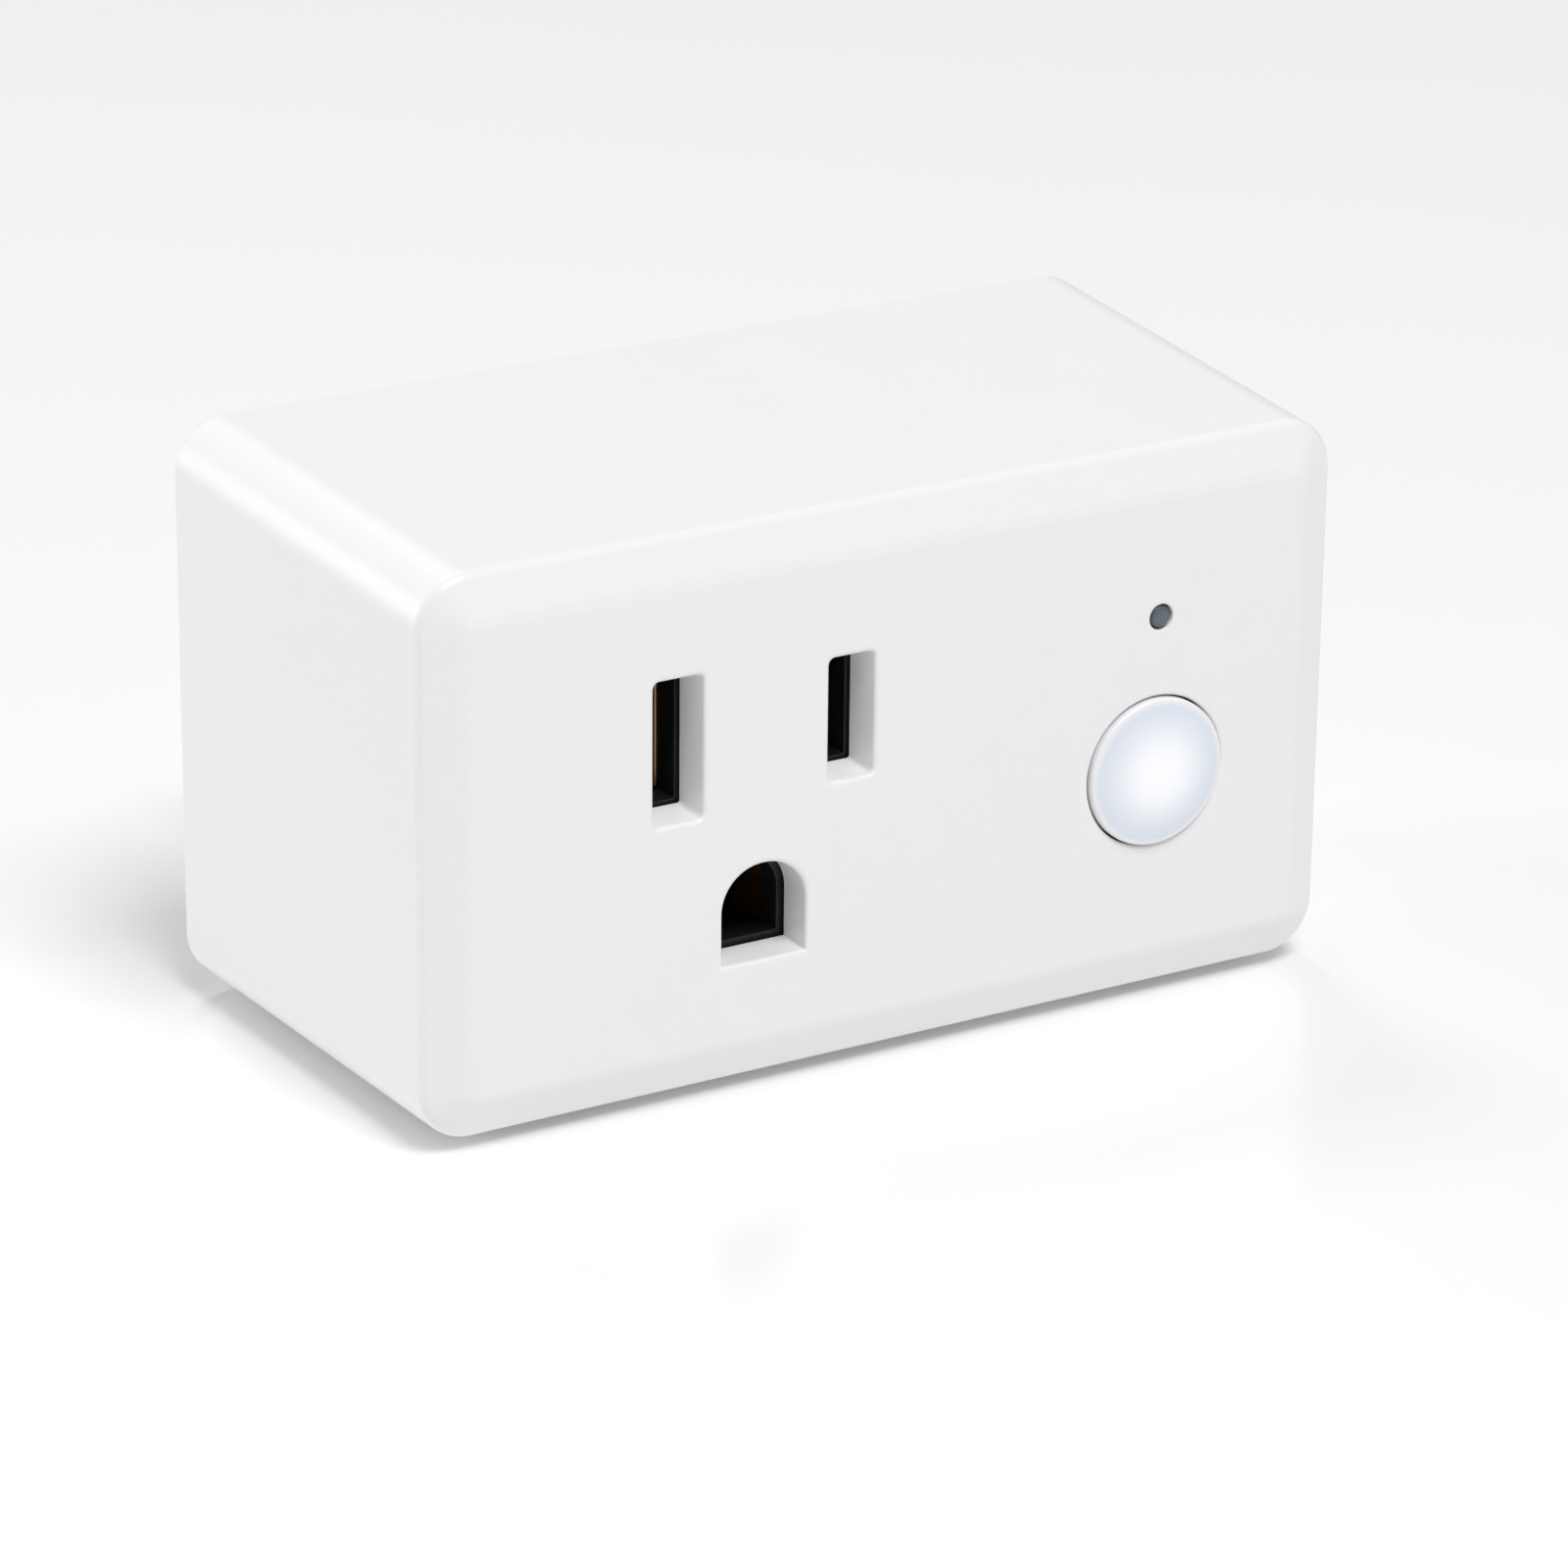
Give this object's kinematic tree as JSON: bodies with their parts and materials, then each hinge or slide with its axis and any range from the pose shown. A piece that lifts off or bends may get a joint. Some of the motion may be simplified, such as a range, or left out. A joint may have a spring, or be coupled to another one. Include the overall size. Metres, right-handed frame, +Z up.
{
  "type": "smart plug",
  "caption": "Smart plug with a grounded outlet, push button and status light on its front, and flat blades with a round ground pin on its back.",
  "frame": {"origin": "on the wall face of the rear cover, midway between the two blades", "axes": "+X to the right as seen from the front, +Y out of the back into the wall, +Z up"},
  "size_m": [0.0702, 0.0544, 0.0392],
  "materials": {
    "housing_white": "fine-grained satin white",
    "insert_black": "moulded black",
    "button_frosted": "frosted translucent white, lit from behind",
    "light_pipe": "smoked clear plastic, unlit",
    "blade_nickel": "nickel plate over brass",
    "contact_bronze": "bright spring bronze",
    "screw_steel": "zinc-plated",
    "shield_steel": "tinned sheet",
    "relay_iron": "nickel-plated soft iron",
    "winding_copper": "enamelled copper wire",
    "board_green": "glass-epoxy board with green solder mask",
    "board_blue": "glass-epoxy board with blue solder mask",
    "part_black": "moulded black epoxy",
    "bobbin_cream": "moulded cream nylon",
    "relay_blue": "moulded blue",
    "ferrite_grey": "sintered ferrite",
    "tape_yellow": "polyester film",
    "sleeve_black": "black sleeve on an aluminium can",
    "fuse_brown": "moulded brown",
    "varistor_blue": "dipped blue epoxy",
    "led_resin": "white package with a clear lens"
  },
  "bodies": {
    "housing": {"front_housing": "housing_white", "rear_cover": "housing_white", "cover_screw_1": "screw_steel", "cover_screw_2": "screw_steel", "cover_screw_3": "screw_steel", "cover_screw_4": "screw_steel", "contact_carrier": "insert_black", "carrier_cap": "insert_black", "neutral_contact": "contact_bronze", "line_contact": "contact_bronze", "ground_contact": "contact_bronze", "neutral_blade": "blade_nickel", "line_blade": "blade_nickel", "ground_pin": "blade_nickel", "main_board": "board_green", "control_board": "board_green", "board_header": "part_black", "wifi_board": "board_blue", "wifi_shield": "shield_steel", "wifi_chip": "part_black", "tact_switch": "part_black", "button_led_1": "led_resin", "button_led_2": "led_resin", "status_led": "led_resin", "light_pipe": "light_pipe", "relay_case": "relay_blue", "relay_base": "part_black", "relay_bobbin": "bobbin_cream", "relay_winding": "winding_copper", "relay_yoke": "relay_iron", "relay_fixed_contact": "contact_bronze", "input_capacitor": "sleeve_black", "output_capacitor": "sleeve_black", "transformer_core": "ferrite_grey", "transformer_winding": "tape_yellow", "choke_core": "ferrite_grey", "choke_winding": "winding_copper", "fuse": "fuse_brown", "varistor": "varistor_blue", "bridge_rectifier": "part_black", "power_chip": "part_black", "safety_capacitor": "tape_yellow"},
    "button": {"button_cap": "button_frosted"},
    "plunger": {"switch_plunger": "bobbin_cream"},
    "armature": {"relay_armature": "relay_iron", "relay_moving_contact": "contact_bronze"}
  },
  "joints": [
    {"name": "button_press", "type": "slide", "parent": "housing", "child": "button", "axis": [0, 1, 0], "range_m": [0, 0.0005], "stiffness_N_per_m": 1500},
    {"name": "plunger_press", "type": "slide", "parent": "housing", "child": "plunger", "axis": [0, 1, 0], "range_m": [0, 0.0005]},
    {"name": "armature_swing", "type": "hinge", "parent": "housing", "child": "armature", "pos_m": [0.02565, -0.0177, -0.016], "axis": [0, 0, 1], "range_deg": [0, 3.5], "stiffness_Nm_per_rad": 0.02}
  ],
  "couplings": [
    {"joint": "plunger_press", "follows": "button_press", "ratio": 1}
  ]
}
